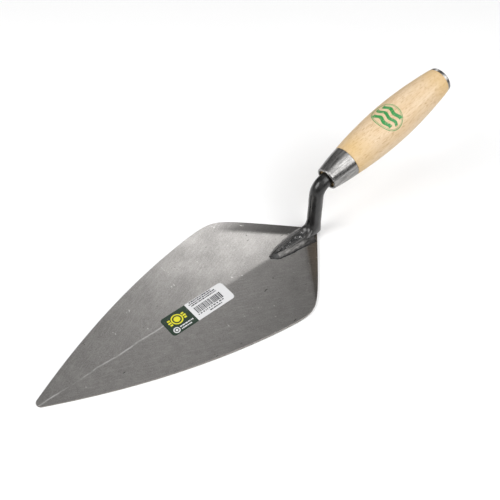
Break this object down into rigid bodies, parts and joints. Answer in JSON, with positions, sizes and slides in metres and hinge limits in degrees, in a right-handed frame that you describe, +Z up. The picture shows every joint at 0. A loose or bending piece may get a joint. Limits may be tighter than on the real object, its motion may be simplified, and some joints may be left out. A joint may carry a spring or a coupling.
{
  "type": "brick trowel",
  "caption": "Pointed brick trowel: kite-shaped steel blade with a low ridge, welded swan-neck tang, steel ferrule and turned wooden handle.",
  "frame": {"origin": "middle of the footprint, on the plane that the blade's rim rests on", "axes": "+X along the trowel from the blade's tip to the butt of the handle, +Y to the left side, +Z up, away from the surface that the blade lies on"},
  "size_m": [0.4162, 0.1294, 0.1058],
  "materials": {
    "blade_steel": "satin ground steel with fine scratches",
    "tang_lacquer": "glossy black lacquer",
    "ground_weld": "weld ground smooth",
    "raw_weld": "rough weld bead, lacquered over",
    "bright_steel": "satin turned steel",
    "wood": "clear lacquered pale beech",
    "label_paper": "printed paper sticker"
  },
  "bodies": {
    "root": {"blade": "blade_steel", "tang": "tang_lacquer", "foot_weld": "ground_weld", "seam_weld": "raw_weld", "ferrule": "bright_steel", "handle": "wood", "butt_cap": "bright_steel", "label": "label_paper"}
  },
  "joints": []
}
